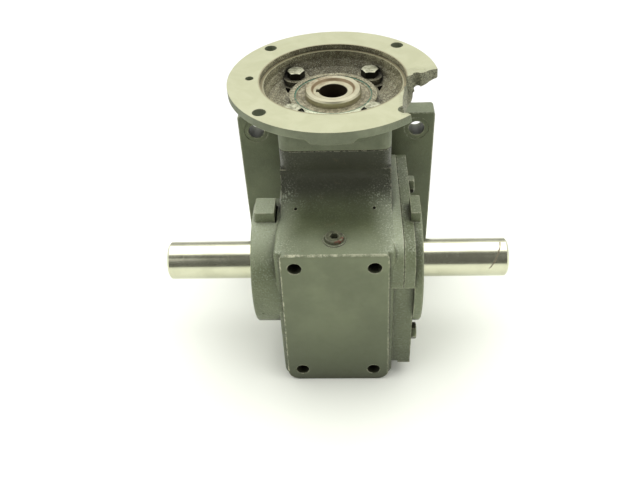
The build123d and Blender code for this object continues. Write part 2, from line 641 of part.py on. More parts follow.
with BuildPart(around_shaft(0)) as worm_wheel:
    Cylinder(WHEEL_TIP_R, WHEEL_FACE)
    chamfer(worm_wheel.edges(), 1)
    Cylinder(RIM_BORE_R, WHEEL_FACE, mode=Mode.SUBTRACT)
    with PolarLocations(0, TEETH):
        add(tooth_gap.part, mode=Mode.SUBTRACT)
    with Locations((0, 0, WHEEL_FACE / 2)):
        with PolarLocations(RIM_BORE_R, 6, start_angle=30):
            Cylinder(RIM_SCREW_R, 12, align=DOWN, mode=Mode.SUBTRACT)

with BuildPart(around_shaft(WHEEL_FACE / 2)) as rim_screws:
    with PolarLocations(RIM_BORE_R, 6, start_angle=30):
        Cylinder(RIM_SCREW_R - 0.02, 11.8, align=DOWN)

shaft_spacer = turned(SHAFT_SECTION, SHAFT_AXIS, [
    (20, JOURNAL_R), (CONE_BACK_X, JOURNAL_R), (CONE_BACK_X, SPACER_R), (20, SPACER_R),
])

# Tapered roller bearings, seen from the gear outwards
ROLLER_TILT = math.radians(12)
ROLLER_MID_X = 49.0
ROLLER_MID_R = 25.0
ROLLER_LENGTH = 11.5
ROLLER_SMALL_R = 3.5
ROLLER_LARGE_R = 4.05
ROLLERS = 18


def along_roller(distance, offset):
    """Point at a distance towards the gear along a roller's axis and an offset outwards from it."""
    x = ROLLER_MID_X - distance * math.cos(ROLLER_TILT) + offset * math.sin(ROLLER_TILT)
    r = ROLLER_MID_R + distance * math.sin(ROLLER_TILT) + offset * math.cos(ROLLER_TILT)
    return x, r


def at_x(start, end, x):
    """Point at x on the line through two points."""
    return x, start[1] + (end[1] - start[1]) * (x - start[0]) / (end[0] - start[0])


def tapered_bearing(side):
    """Cone, cup, rollers and cage on the left (side -1) or the right (side 1)."""
    half = ROLLER_LENGTH / 2
    cone_large = along_roller(half + 0.2, -ROLLER_LARGE_R - RUNNING)
    cone_small = along_roller(-half, -ROLLER_SMALL_R - RUNNING)
    cup_large = along_roller(half, ROLLER_LARGE_R + RUNNING)
    cup_small = along_roller(-half, ROLLER_SMALL_R + RUNNING)
    rib_foot = along_roller(half + 0.2, -1.6)
    cone_face = CONE_BACK_X + CONE_WIDTH
    cone_end = at_x(cone_large, cone_small, 55.6)
    cone_outline = [
        (CONE_BACK_X, JOURNAL_R), (CONE_BACK_X, rib_foot[1]), rib_foot, cone_large, cone_end,
        (cone_face, cone_end[1]), (cone_face, JOURNAL_R),
    ]
    cup_outline = [
        at_x(cup_large, cup_small, CUP_BACK_X - CUP_WIDTH), at_x(cup_large, cup_small, CUP_BACK_X),
        (CUP_BACK_X, CUP_R), (CUP_BACK_X - CUP_WIDTH, CUP_R),
    ]
    cage_outline = [
        along_roller(7.2, 0.2), along_roller(7.2, 1.5), along_roller(-7.2, 1.5), along_roller(-7.2, 0.2),
    ]
    cone, cup, cage = [
        turned(SHAFT_SECTION, SHAFT_AXIS, [(side * x, r) for x, r in outline])
        for outline in (cone_outline, cup_outline, cage_outline)
    ]
    large_x, large_r = along_roller(half, 0)
    roller_plane = Plane(origin=(0, large_r, side * large_x),
                         z_dir=(0, -math.sin(ROLLER_TILT), side * math.cos(ROLLER_TILT)))
    with BuildPart() as roller:
        with Locations(roller_plane):
            Cone(ROLLER_LARGE_R, ROLLER_SMALL_R, ROLLER_LENGTH, align=UP)
    with BuildPart() as pocket:
        with Locations(roller_plane.offset(-0.15)):
            Cone(ROLLER_LARGE_R + 0.15, ROLLER_SMALL_R + 0.15, ROLLER_LENGTH + 0.3, align=UP)
    with BuildPart(around_shaft(0)) as rollers:
        with PolarLocations(0, ROLLERS):
            add(roller.part)
    with cage:
        with Locations(around_shaft(0)):
            with PolarLocations(0, ROLLERS):
                add(pocket.part, mode=Mode.SUBTRACT)
    return cone, cup, rollers, cage


left_cone, left_cup, left_rollers, left_cage = tapered_bearing(-1)
right_cone, right_cup, right_rollers, right_cage = tapered_bearing(1)


def output_seal(inner_face, side):
    """Lip seal pressed in round the output shaft."""
    lip = JOURNAL_R + RUNNING
    outline = [
        (0, lip + 2), (0, SEAL_R), (7.6, SEAL_R), (7.6, lip + 5), (6.6, lip + 4.4), (6.6, lip), (4.6, lip),
        (4.6, lip + 2),
    ]
    return turned(SHAFT_SECTION, SHAFT_AXIS, [(side * (inner_face + x), r) for x, r in outline])


left_output_seal = output_seal(CUP_BACK_X + 0.2, -1)
right_output_seal = output_seal(COVER_BOSS_X - SEAL_WIDTH, 1)

# ---------------------------------------------------------------- side cover

COVER_SPIGOT_X = 43.0
LIP_BACK_Y = COVER_LOW_FRONT_Y + LIP_WIDTH + 0.3
with BuildPart() as side_cover:
    add(side_plate(COVER_INNER_X, COVER_OUTER_X, COVER_TOP_Z, LIP_BACK_Y).part)
    with Locations(around_shaft(COVER_SPIGOT_X)):
        Cylinder(CAVITY_R - EASE, COVER_INNER_X - COVER_SPIGOT_X + 1, align=UP)
    with Locations(around_shaft(COVER_OUTER_X)):
        Cylinder(COVER_BOSS_R, COVER_BOSS_X - COVER_OUTER_X, align=UP)
    chamfer(side_cover.faces().sort_by(Axis.X)[-1].edges(), 1)
    # Lug beside the boss
    with BuildSketch(Plane.XY.offset(-96)):
        with Locations((COVER_OUTER_X + 1.95, -60.2)):
            RectangleRounded(7.9, 22.5, 1)
    extrude(amount=LUG_TOP_Z + 96)
    with Locations(around_shaft(CUP_BACK_X)):
        Cylinder(CUP_R, 30, align=DOWN, mode=Mode.SUBTRACT)
        Cylinder(SEAL_R, 30, align=UP, mode=Mode.SUBTRACT)
    with Locations(*[across(COVER_INNER_X) * Location((y, z, 0)) for y, z in COVER_BOLTS]):
        Cylinder(4.3, 30, mode=Mode.SUBTRACT)

with BuildPart() as cover_gasket:
    add(side_plate(COVER_INNER_X - COVER_GASKET, COVER_INNER_X, COVER_TOP_Z, LIP_BACK_Y, inset=1).part)
    with Locations(around_shaft(COVER_INNER_X)):
        Cylinder(CAVITY_R, 4, mode=Mode.SUBTRACT)
    with Locations(*[across(COVER_INNER_X) * Location((y, z, 0)) for y, z in COVER_BOLTS]):
        Cylinder(4.3, 4, mode=Mode.SUBTRACT)

cover_bolt = hex_bolt(12.7, 5, 4, 22)
with BuildPart() as cover_bolts:
    with Locations(*[across(COVER_OUTER_X) * Location((y, z, 0)) for y, z in COVER_BOLTS]):
        add(cover_bolt.part)

# ---------------------------------------------------------------- back plate and plugs

with BuildPart() as back_plate:
    with BuildSketch(facing_front(BODY_BACK_Y)):
        with Locations((0, (PLATE_TOP_Z + FLOOR_Z) / 2)):
            RectangleRounded(2 * PLATE_HALF_X, PLATE_TOP_Z - FLOOR_Z, 3)
    extrude(amount=-PLATE_THICKNESS)
    chamfer(back_plate.edges().filter_by(Axis.X, reverse=True).filter_by(Axis.Y, reverse=True), 0.7)
    with Locations(facing_front(BODY_BACK_Y)):
        with Locations(*[(x, z) for x in (-PLATE_HOLE_X, PLATE_HOLE_X)
                         for z in (PLATE_HOLE_TOP_Z, PLATE_HOLE_FOOT_Z)]):
            Cylinder(PLATE_HOLE_R, 50, mode=Mode.SUBTRACT)
            Cylinder(11, 0.6, mode=Mode.SUBTRACT)
        with Locations(*PLATE_SCREWS):
            Cylinder(5.3, 50, mode=Mode.SUBTRACT)
    with Locations(facing_front(BODY_BACK_Y + PLATE_THICKNESS)):
        with Locations(*PLATE_SCREWS):
            Cylinder(8.4, 2 * PLATE_SCREW_DEPTH, mode=Mode.SUBTRACT)

plate_screw = socket_screw(8, 9.5, 4.9, 23, 8)
SCREW_SEAT_Y = BODY_BACK_Y + PLATE_THICKNESS - PLATE_SCREW_DEPTH
with BuildPart(Plane(origin=(0, SCREW_SEAT_Y, 0), x_dir=(-1, 0, 0), z_dir=(0, 1, 0))) as plate_screws:
    with Locations(*PLATE_SCREWS):
        add(plate_screw.part)


def pipe_plug(collar_r, collar_height, thread_length):
    """Hex socket pipe plug with a collar, standing on the collar's underside."""
    with BuildPart() as plug:
        Cylinder(collar_r, collar_height, align=UP)
        chamfer(plug.edges().group_by(Axis.Z)[-1], 0.6)
        Cylinder(5.5, thread_length, align=DOWN)
        with BuildSketch(Plane.XY.offset(collar_height)):
            RegularPolygon(3.2, 6, major_radius=False)
        extrude(amount=-5, mode=Mode.SUBTRACT)
    return plug


filler = pipe_plug(7, 3.2, 12)
with BuildPart() as filler_plug:
    with Locations((0, -93, BODY_TOP_Z + 0.8)):
        add(filler.part)
drain = pipe_plug(7, 3, 12)
with BuildPart() as drain_plug:
    with Locations(Plane(origin=(0, -80, FLOOR_Z + 5), z_dir=(0, 0, -1))):
        add(drain.part)

# ---------------------------------------------------------------- one file for each piece

os.makedirs("parts", exist_ok=True)
pieces = {
    "housing": housing,
    "input_flange": input_flange,
    "input_seal": input_seal,
    "flange_gasket": flange_gasket,
    "flange_bolts": flange_bolts,
    "worm_shaft": worm_shaft,
    "upper_inner_ring": upper_inner_ring,
    "upper_outer_ring": upper_outer_ring,
    "upper_balls": upper_balls,
    "upper_cage": upper_cage,
    "lower_inner_ring": lower_inner_ring,
    "lower_outer_ring": lower_outer_ring,
    "lower_balls": lower_balls,
    "lower_cage": lower_cage,
    "upper_retaining_ring": upper_retaining_ring,
    "lower_retaining_ring": lower_retaining_ring,
    "end_cap": end_cap,
    "end_cap_gasket": end_cap_gasket,
    "end_cap_screws": end_cap_screws,
    "output_shaft": output_shaft,
    "wheel_key": wheel_key,
    "wheel_hub": wheel_hub,
    "worm_wheel": worm_wheel,
    "rim_screws": rim_screws,
    "shaft_spacer": shaft_spacer,
    "left_cone": left_cone,
    "left_cup": left_cup,
    "left_rollers": left_rollers,
    "left_cage": left_cage,
    "right_cone": right_cone,
    "right_cup": right_cup,
    "right_rollers": right_rollers,
    "right_cage": right_cage,
    "left_output_seal": left_output_seal,
    "right_output_seal": right_output_seal,
    "side_cover": side_cover,
    "cover_gasket": cover_gasket,
    "cover_bolts": cover_bolts,
    "back_plate": back_plate,
    "plate_screws": plate_screws,
    "filler_plug": filler_plug,
    "drain_plug": drain_plug,
}
for label, piece in pieces.items():
    piece.part.label = label
    export_step(piece.part, f"parts/{label}.step")
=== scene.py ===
import math

import bpy
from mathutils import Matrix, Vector


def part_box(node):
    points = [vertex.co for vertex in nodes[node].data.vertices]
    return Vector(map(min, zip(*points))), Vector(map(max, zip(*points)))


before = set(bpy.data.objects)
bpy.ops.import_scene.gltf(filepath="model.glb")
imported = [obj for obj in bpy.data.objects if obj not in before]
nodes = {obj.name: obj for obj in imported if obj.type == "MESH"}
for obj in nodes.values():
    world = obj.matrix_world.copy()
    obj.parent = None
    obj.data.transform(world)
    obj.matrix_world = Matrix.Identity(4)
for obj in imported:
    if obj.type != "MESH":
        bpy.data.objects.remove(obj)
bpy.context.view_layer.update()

MM = 0.001

# ---------------------------------------------------------------- places taken from the frame

housing_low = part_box("housing")[0]
FLOOR_Z = housing_low.z
PAD_Y = housing_low.y
shaft_low, shaft_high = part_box("output_shaft")
SHAFT_END_X = shaft_high.x
SHAFT_Y = (shaft_low.y + shaft_high.y) / 2
SHAFT_Z = (shaft_low.z + shaft_high.z) / 2
plug_low, plug_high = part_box("filler_plug")
PLUG_X = (plug_low.x + plug_high.x) / 2
PLUG_Y = (plug_low.y + plug_high.y) / 2

# ---------------------------------------------------------------- zones of a CAD node with their own look

# Front pad: its top edge, its half width there and at the floor, and how deep its face counts as pad
PAD_TOP_Z = -88 * MM
PAD_TOP_HALF_X = 41.3 * MM
PAD_FOOT_HALF_X = 43.2 * MM
PAD_SKIN = 1.6 * MM

# Neck of the housing: painted shade under the flange between these heights, within this half width
NECK_LOW_Z = -94 * MM
NECK_HIGH_Z = -74 * MM
NECK_HALF_X = 45.5 * MM

# Input flange, round the Z axis: turned face, rim of the register, bowl and its deeper pockets
FACE_LOW_Z = -5 * MM
REGISTER_R = 56.5 * MM
BOWL_R = 57.3 * MM
BOWL_LOW_Z = -21.5 * MM
POCKET_R = 47 * MM
POCKET_LOW_Z = -29.5 * MM

# Fracture of the flange: a box round the break, less the bowl, the rim and the back of the flange
BREAK_X = 49.5 * MM
BREAK_FRONT_Y = -60.5 * MM
BREAK_BACK_Y = 10.8 * MM
BREAK_INNER_R = 57.7 * MM
BREAK_OUTER_R = 82.2 * MM
BREAK_LOW_Z = -14.5 * MM

# Quill, round the Z axis: bore, and the slope from its rim down to the recessed face; lip of the seal
BORE_R = 11.3 * MM
SLOPE_R = 16.6 * MM
SLOPE_LOW_Z = -12.5 * MM
LIP_R = 30.6 * MM

# ---------------------------------------------------------------- sizes of relief

SAND_GRAIN = 1.5 * MM
SAND_DEPTH = 0.7 * MM
CAST_ROUNDING = 0.9 * MM
FLANGE_ROUNDING = 0.6 * MM
MACHINED_ROUNDING = 0.3 * MM
TOOL_MARK = 0.35 * MM
TOOL_MARK_DEPTH = 0.012 * MM
TOOL_MARK_STRETCH = 0.04
FRACTURE_DEPTH = 1.6 * MM

# The scratch on the right shaft end: where it is, how far it leans, its wobble and half its width
SCRATCH_X = SHAFT_END_X - 12 * MM
SCRATCH_Z = SHAFT_Z + 9 * MM
SCRATCH_LEAN = -0.6
SCRATCH_WOBBLE = 2.4 * MM
SCRATCH_HALF_WIDTH = 0.9 * MM

# ---------------------------------------------------------------- colours


def srgb(red, green, blue):
    """Linear colour of an 8-bit display colour."""
    return tuple(((c / 255 + 0.055) / 1.055) ** 2.4 if c > 10 else c / 3294 for c in (red, green, blue))


PAINT = srgb(106, 114, 84)
PAINT_LIGHT = srgb(123, 131, 100)
PAINT_DARK = srgb(80, 87, 62)
# Painted light: housing tops as lit from above
PAINT_TOP_LIT = srgb(160, 168, 141)
PAINT_STAIN = srgb(112, 102, 74)
# Pale casting grains, partly painted glints of the top light
GRAIN_PALE_GLINT = srgb(186, 193, 170)
GRAIN_DARK = srgb(66, 72, 54)
CHIPPED = srgb(192, 191, 164)
# Painted shade: under the flange at the neck, in corners and in sheltered places
PAINTED_SHADE = srgb(46, 46, 34)

FACE_CREAM = srgb(172, 173, 141)
FACE_CREAM_LIGHT = srgb(180, 181, 150)
FACE_TURNING = srgb(154, 153, 122)
FACE_SPOT = srgb(142, 134, 102)
FACE_RUST = srgb(118, 106, 76)
BOWL_BROWN = srgb(92, 86, 62)
BOWL_TAN = srgb(140, 135, 106)
BOWL_GRAIN_PALE = srgb(206, 204, 174)
BOWL_GRAIN_DARK = srgb(48, 44, 30)
# Painted light on the bowl's front, painted shade at its back and in its corners
BOWL_LIT_FRONT = srgb(236, 244, 212)
BOWL_SHADED_BACK = srgb(34, 31, 20)
BOWL_CORNER_SHADE = srgb(26, 23, 14)
RIM_DARK = srgb(98, 104, 82)
RIM_LIGHT = srgb(122, 128, 104)
RIM_EDGE = srgb(176, 173, 144)
BREAK_DARK = srgb(78, 78, 60)
BREAK_PALE = srgb(150, 150, 124)

SHAFT_BRIGHT = srgb(208, 208, 184)
SHAFT_DULL = srgb(194, 194, 169)
SHAFT_SCRATCH = srgb(84, 60, 34)
QUILL_BRIGHT = srgb(188, 184, 158)
QUILL_DULL = srgb(168, 163, 135)
QUILL_RUST = srgb(120, 96, 62)
QUILL_BORE = srgb(48, 40, 28)
RUST_SPOT = srgb(98, 74, 44)

SEAL_DUST = srgb(104, 98, 74)
SEAL_DUST_PALE = srgb(164, 158, 130)
SEAL_GREEN = srgb(24, 92, 68)
SEAL_GREY = srgb(96, 100, 76)
RUBBER_DUST = srgb(110, 98, 70)
BOLT_BLACK = srgb(26, 25, 19)
# Painted light: the lit tops of the flange bolts
BOLT_LIT_TOP = srgb(126, 126, 104)
BOLT_LIT_TOP_PALE = srgb(184, 184, 160)
# Painted shade in the corners of small hardware
PAINTED_CORNER_SHADE = srgb(22, 20, 14)

TABLE = srgb(250, 252, 243)
TABLE_LIGHT = srgb(252, 254, 246)
BACKDROP = srgb(226, 226, 226)

# ---------------------------------------------------------------- a small kit for shader nodes


class Tree:
    """A node tree that is built by short calls; a value is a number or another node's output."""

    def __init__(self, tree):
        self.tree = tree

    def node(self, kind, **settings):
        made = self.tree.nodes.new(kind)
        for key, value in settings.items():
            setattr(made, key, value)
        return made

    def wire(self, value, socket):
        if hasattr(value, "is_output"):
            self.tree.links.new(value, socket)
        else:
            socket.default_value = value

    def wire_colour(self, value, socket):
        self.wire(value if hasattr(value, "is_output") else (*value, 1), socket)

    def math(self, operation, a, b=0.0):
        made = self.node("ShaderNodeMath", operation=operation)
        self.wire(a, made.inputs[0])
        self.wire(b, made.inputs[1])
        return made.outputs[0]

    def times(self, first, *others):
        """The product of masks and numbers."""
        for other in others:
            first = self.math("MULTIPLY", first, other)
        return first

    def plus(self, a, b):
        return self.math("ADD", a, b)

    def minus(self, a, b):
        return self.math("SUBTRACT", a, b)

    def most(self, a, b):
        return self.math("MAXIMUM", a, b)

    def over(self, value, limit):
        """1 where value is greater than limit."""
        return self.math("GREATER_THAN", value, limit)

    def under(self, value, limit):
        """1 where value is less than limit."""
        return self.math("LESS_THAN", value, limit)

    def distance(self, value, centre=0.0):
        return self.math("ABSOLUTE", self.minus(value, centre))

    def split(self, vector):
        made = self.node("ShaderNodeSeparateXYZ")
        self.wire(vector, made.inputs[0])
        return made.outputs

    def ramp(self, value, low, high, start=0.0, end=1.0, smooth=True):
        """From start to end as value goes from low to high, and level beyond both."""
        made = self.node("ShaderNodeMapRange", interpolation_type="SMOOTHSTEP" if smooth else "LINEAR")
        self.wire(value, made.inputs["Value"])
        for key, number in (("From Min", low), ("From Max", high), ("To Min", start), ("To Max", end)):
            made.inputs[key].default_value = number
        return made.outputs["Result"]


class Surface(Tree):
    """A material; its coordinates are the object's own, in metres."""

    def __init__(self, name, roughness=0.5, metallic=0.0, specular=0.5):
        self.material = bpy.data.materials.new(name)
        self.material.use_nodes = True
        super().__init__(self.material.node_tree)
        self.shader = self.tree.nodes["Principled BSDF"]
        self.shader.inputs["Roughness"].default_value = roughness
        self.shader.inputs["Metallic"].default_value = metallic
        self.shader.inputs["Specular IOR Level"].default_value = specular
        place = self.node("ShaderNodeTexCoord")
        self.where = place.outputs["Object"]
        self.x, self.y, self.z = self.split(self.where)
        self.upward = self.split(place.outputs["Normal"])[2]
        self.relief = None

    def from_axis(self):
        """Distance from the Z axis."""
        squares = self.plus(self.times(self.x, self.x), self.times(self.y, self.y))
        return self.math("SQRT", squares)

    def stretch(self, scale=(1, 1, 1), shift=(0, 0, 0)):
        made = self.node("ShaderNodeMapping")
        self.wire(self.where, made.inputs["Vector"])
        made.inputs["Scale"].default_value = scale
        made.inputs["Location"].default_value = shift
        return made.outputs[0]

    def noise(self, size, detail=4, rough=0.6, vector=None, warp=0.0):
        """Smooth noise whose features are about size metres wide."""
        made = self.node("ShaderNodeTexNoise")
        self.wire(vector or self.where, made.inputs["Vector"])
        made.inputs["Scale"].default_value = 1.0 / size
        made.inputs["Detail"].default_value = detail
        made.inputs["Roughness"].default_value = rough
        made.inputs["Distortion"].default_value = warp
        return made.outputs["Fac"]

    def patches(self, size, low, high, start=0.0, end=1.0, **texture):
        """Patches about size metres wide: start where their noise is under low, end where it is over high."""
        return self.ramp(self.noise(size, **texture), low, high, start, end)

    def dimples(self, size):
        """0 at the centres of round cells about size metres wide, 1 between them."""
        made = self.node("ShaderNodeTexVoronoi", feature="F1")
        self.wire(self.where, made.inputs["Vector"])
        made.inputs["Scale"].default_value = 1.0 / size
        return self.ramp(made.outputs["Distance"], 0.0, 0.45)

    def mix(self, share, a, b):
        made = self.node("ShaderNodeMix", data_type="RGBA")
        self.wire(share, made.inputs["Factor"])
        self.wire_colour(a, made.inputs[6])
        self.wire_colour(b, made.inputs[7])
        return made.outputs[2]

    def rounded(self, radius):
        """The normal as if edges were rounded to that radius."""
        made = self.node("ShaderNodeBevel", samples=6)
        made.inputs["Radius"].default_value = radius
        return made.outputs[0]

    def edge(self, radius, sharpness=0.25):
        """1 on convex and concave edges, 0 on flats."""
        dot = self.node("ShaderNodeVectorMath", operation="DOT_PRODUCT")
        self.wire(self.rounded(radius), dot.inputs[0])
        self.wire(self.node("ShaderNodeNewGeometry").outputs["Normal"], dot.inputs[1])
        return self.ramp(dot.outputs["Value"], 0.996, 1.0 - sharpness)

    def open_air(self, reach):
        """1 in the open, towards 0 in corners and under overhangs."""
        made = self.node("ShaderNodeAmbientOcclusion", samples=8)
        made.inputs["Distance"].default_value = reach
        return made.outputs["AO"]

    def colour(self, value):
        self.wire_colour(value, self.shader.inputs["Base Color"])

    def roughness(self, value):
        self.wire(value, self.shader.inputs["Roughness"])

    def metallic(self, value):
        self.wire(value, self.shader.inputs["Metallic"])

    def bump(self, value, depth, strength=1.0, round_edges=0.0):
        """Adds relief of that depth in metres on top of what is there; the first can round the edges too."""
        made = self.node("ShaderNodeBump")
        made.inputs["Strength"].default_value = strength
        made.inputs["Distance"].default_value = depth
        self.wire(value, made.inputs["Height"])
        if self.relief is not None:
            self.wire(self.relief, made.inputs["Normal"])
        elif round_edges:
            self.wire(self.rounded(round_edges), made.inputs["Normal"])
        self.relief = made.outputs[0]
        self.wire(self.relief, self.shader.inputs["Normal"])


# ---------------------------------------------------------------- painted castings


def housing_light_and_shade(s, tint):
    """Painted light and shade on the housing: tops beside and before the neck painted lighter as lit from
    above, painted shade on the neck under the flange and towards the foot.
    """
    sideways = s.distance(s.x)
    beside = s.ramp(sideways, 24 * MM, 46 * MM)
    before = s.ramp(s.y, -74 * MM, -100 * MM, 0.0, 0.55)
    # Painted light: upward faces beside and before the neck made lighter, as the top light falls on them
    tops = s.times(s.ramp(s.upward, 0.5, 0.95), s.most(beside, before), 0.9)
    tint = s.mix(tops, tint, PAINT_TOP_LIT)
    # Painted shade: the neck darkened under the flange's overhang
    neck = s.times(s.ramp(s.z, NECK_LOW_Z, NECK_HIGH_Z), s.ramp(s.y, 30 * MM, -10 * MM, 0.0, 0.9))
    tint = s.mix(s.times(neck, s.under(sideways, NECK_HALF_X)), tint, PAINTED_SHADE)
    # Painted shade: darker towards the foot
    return s.mix(s.ramp(s.z, FLOOR_Z, FLOOR_Z + 120 * MM, 1.0, 0.0), tint, PAINT_DARK)


def pad_outline(s, pad):
    """Paint flaked off in a ragged line along the pad's sides and top, most at its left."""
    half_width = s.ramp(s.z, PAD_TOP_Z, FLOOR_Z, PAD_TOP_HALF_X, PAD_FOOT_HALF_X, smooth=False)
    past_side = s.minus(s.distance(s.x), half_width)
    ragged = s.times(s.minus(s.noise(4 * MM, rough=0.7), 0.5), 4 * MM)
    near_side = s.ramp(s.plus(past_side, ragged), -1.4 * MM, -0.4 * MM)
    near_top = s.ramp(s.plus(s.z, ragged), PAD_TOP_Z - 1.7 * MM, PAD_TOP_Z - 0.6 * MM)
    flakes = s.patches(9 * MM, 0.44, 0.56, detail=5, rough=0.8)
    crumbs = s.patches(2 * MM, 0.3, 0.5, detail=3, rough=0.7)
    leftward = s.ramp(s.x, -30 * MM, 46 * MM, 1.0, 0.5)
    return s.times(s.most(near_side, near_top), pad, flakes, crumbs, leftward)


def casting_relief(s, cast):
    """Sand-cast skin under the enamel: grains, shallow dimples and a few slow waves."""
    s.bump(s.noise(SAND_GRAIN), SAND_DEPTH * cast, round_edges=CAST_ROUNDING)
    s.bump(s.dimples(2.6 * MM), 0.12 * MM * cast, 0.5)
    s.bump(s.noise(12 * MM, 2, 0.5), 0.5 * MM * cast, 0.5)


def housing_relief(s, rough):
    """The same skin where the casting is rough, fading to the smooth front, with slow waves all over."""
    s.bump(s.times(s.noise(SAND_GRAIN), rough), SAND_DEPTH, round_edges=CAST_ROUNDING)
    s.bump(s.times(s.noise(9 * MM, 2, 0.5), rough), 0.8 * MM, 0.7)
    s.bump(s.noise(16 * MM, 2, 0.5), 0.15 * MM, 0.5)


def paint(name, cast=1.0, wear=0.6, smooth_front=False):
    """Grey-green enamel. cast sets how rough the casting under it is, wear how far its edges are chipped,
    and smooth_front is for the housing, with its machined pad."""
    s = Surface(name, roughness=0.42)
    tint = s.mix(s.patches(45 * MM, 0.35, 0.7), PAINT_DARK, PAINT_LIGHT)
    tint = s.mix(0.55, tint, PAINT)
    rough = 1.0
    if smooth_front:
        pad = s.under(s.y, PAD_Y + PAD_SKIN)
        outer = s.ramp(s.distance(s.x), 22 * MM, 42 * MM, 0.25, 1.0)
        rough = s.times(outer, s.minus(1.0, s.times(pad, 0.9)))
        # Painted light and shade of the housing: lit tops, shaded neck and foot
        tint = housing_light_and_shade(s, tint)

    # Pale and dark grains of the casting, most on its upward sides; the pale grains are partly painted glints
    # of the top light
    moved = s.stretch(shift=(0.2, 0.5, 0.1))
    pale_grains = s.patches(1.4 * MM, 0.53, 0.63, detail=3, rough=0.75)
    dark_grains = s.patches(SAND_GRAIN, 0.56, 0.68, detail=3, rough=0.7, vector=moved)
    patchy = s.patches(28 * MM, 0.38, 0.62, 0.3, 1.0, detail=3)
    grainy = s.times(patchy, s.ramp(s.upward, 0.1, 0.9, 0.25, 1.0), rough)
    tint = s.mix(s.times(pale_grains, grainy, 0.8 * cast), tint, GRAIN_PALE_GLINT)
    tint = s.mix(s.times(dark_grains, grainy, 0.6 * cast), tint, GRAIN_DARK)

    # Stains, then painted shade in corners and in sheltered places
    stains = s.patches(16 * MM, 0.62, 0.76, detail=5, rough=0.65, warp=0.8)
    tint = s.mix(s.times(stains, 0.3), tint, PAINT_STAIN)
    tint = s.mix(s.ramp(s.open_air(12 * MM), 0.25, 0.9), PAINTED_SHADE, tint)
    tint = s.mix(s.ramp(s.open_air(75 * MM), 0.30, 0.78, 0.4, 1.0), PAINTED_SHADE, tint)

    # Chipped edges
    broken = s.patches(3.2 * MM, 0.42, 0.56, rough=0.7)
    chips = s.times(s.edge(1.8 * MM, 0.12), broken, s.ramp(s.open_air(3 * MM), 0.55, 0.8), wear)
    if smooth_front:
        chips = s.most(chips, pad_outline(s, pad))
    s.colour(s.mix(chips, tint, CHIPPED))
    s.roughness(s.patches(7 * MM, 0.3, 0.75, 0.34, 0.5, detail=3))
    if smooth_front:
        housing_relief(s, rough)
    else:
        casting_relief(s, cast)
    return s


# ---------------------------------------------------------------- the flange


def turned_face(s, radius, turning):
    """Cream face with faint turning lines, spots, and rust along the register's rim."""
    tint = s.mix(s.patches(22 * MM, 0.35, 0.68, detail=5, rough=0.62, warp=0.6), FACE_CREAM, FACE_CREAM_LIGHT)
    tint = s.mix(s.times(turning, 0.25), tint, FACE_TURNING)
    spots = s.patches(4.5 * MM, 0.64, 0.78, rough=0.7)
    tint = s.mix(s.times(spots, 0.3), tint, FACE_SPOT)
    register = s.ramp(s.distance(radius, REGISTER_R), 0.6 * MM, 2.6 * MM, 0.8, 0.0)
    return s.mix(register, tint, FACE_RUST)


def rusty_bowl(s):
    """Rough rusty iron with pale and dark grains; painted light on its front, painted shade at its back and
    in its corners.
    """
    moved = s.stretch(shift=(0.3, 0.1, 0.2))
    pale_grains = s.patches(0.9 * MM, 0.5, 0.64, 0.0, 0.85, detail=3, rough=0.7)
    dark_grains = s.patches(1.1 * MM, 0.54, 0.66, 0.0, 0.8, detail=3, rough=0.7, vector=moved)
    front = s.ramp(s.y, -12 * MM, -40 * MM)
    streaks = s.patches(2 * MM, 0.3, 0.6, 0.4, 1.0, detail=3, rough=0.7)
    tint = s.mix(s.patches(6 * MM, 0.35, 0.7, detail=5, rough=0.7), BOWL_BROWN, BOWL_TAN)
    tint = s.mix(pale_grains, tint, BOWL_GRAIN_PALE)
    tint = s.mix(dark_grains, tint, BOWL_GRAIN_DARK)
    # Painted light on the front of the bowl, in streaks
    tint = s.mix(s.times(front, streaks), tint, BOWL_LIT_FRONT)
    # Painted shade in the bowl's corners
    tint = s.mix(s.ramp(s.open_air(14 * MM), 0.25, 0.98), BOWL_CORNER_SHADE, tint)
    # Painted shade at the back of the bowl
    return s.mix(s.ramp(s.y, 38 * MM, 56 * MM, 0.0, 0.55), tint, BOWL_SHADED_BACK)


def flange_iron():
    """The flange: turned face, rusty rough bowl, painted outside and grey fracture."""
    s = Surface("flange_iron", roughness=0.4)
    radius = s.from_axis()
    face = s.times(s.over(s.upward, 0.8), s.over(s.z, FACE_LOW_Z))
    bowl = s.times(s.under(radius, BOWL_R), s.over(s.z, BOWL_LOW_Z))
    pockets = s.times(s.under(radius, POCKET_R), s.over(s.z, POCKET_LOW_Z))
    across = s.times(s.over(s.x, BREAK_X), s.over(s.y, BREAK_FRONT_Y), s.under(s.y, BREAK_BACK_Y))
    around = s.times(s.over(radius, BREAK_INNER_R), s.under(radius, BREAK_OUTER_R))
    fracture = s.times(across, around, s.over(s.z, BREAK_LOW_Z))
    rings = s.node("ShaderNodeCombineXYZ")
    s.wire(radius, rings.inputs[0])
    turning = s.noise(0.5 * MM, 2, 0.5, vector=rings.outputs[0])

    outside = s.mix(s.patches(30 * MM, 0.35, 0.7), RIM_DARK, RIM_LIGHT)
    outside = s.mix(s.times(s.edge(0.8 * MM), 0.8), outside, RIM_EDGE)
    grey = s.mix(s.patches(1.1 * MM, 0.35, 0.65, detail=3, rough=0.7), BREAK_DARK, BREAK_PALE)
    tint = s.mix(s.most(bowl, pockets), outside, rusty_bowl(s))
    tint = s.mix(fracture, tint, grey)
    s.colour(s.mix(face, tint, turned_face(s, radius, turning)))
    s.metallic(s.times(face, 0.3))
    s.roughness(s.minus(0.62, s.times(face, 0.17)))
    s.bump(s.times(s.noise(1.8 * MM), s.minus(1.0, face)), 0.5 * MM, 0.8, round_edges=FLANGE_ROUNDING)
    s.bump(s.times(s.noise(2.4 * MM, 3, 0.7), fracture), FRACTURE_DEPTH)
    s.bump(s.times(turning, face), 0.03 * MM, 0.6)
    return s


# ---------------------------------------------------------------- shafts, seals and small hardware


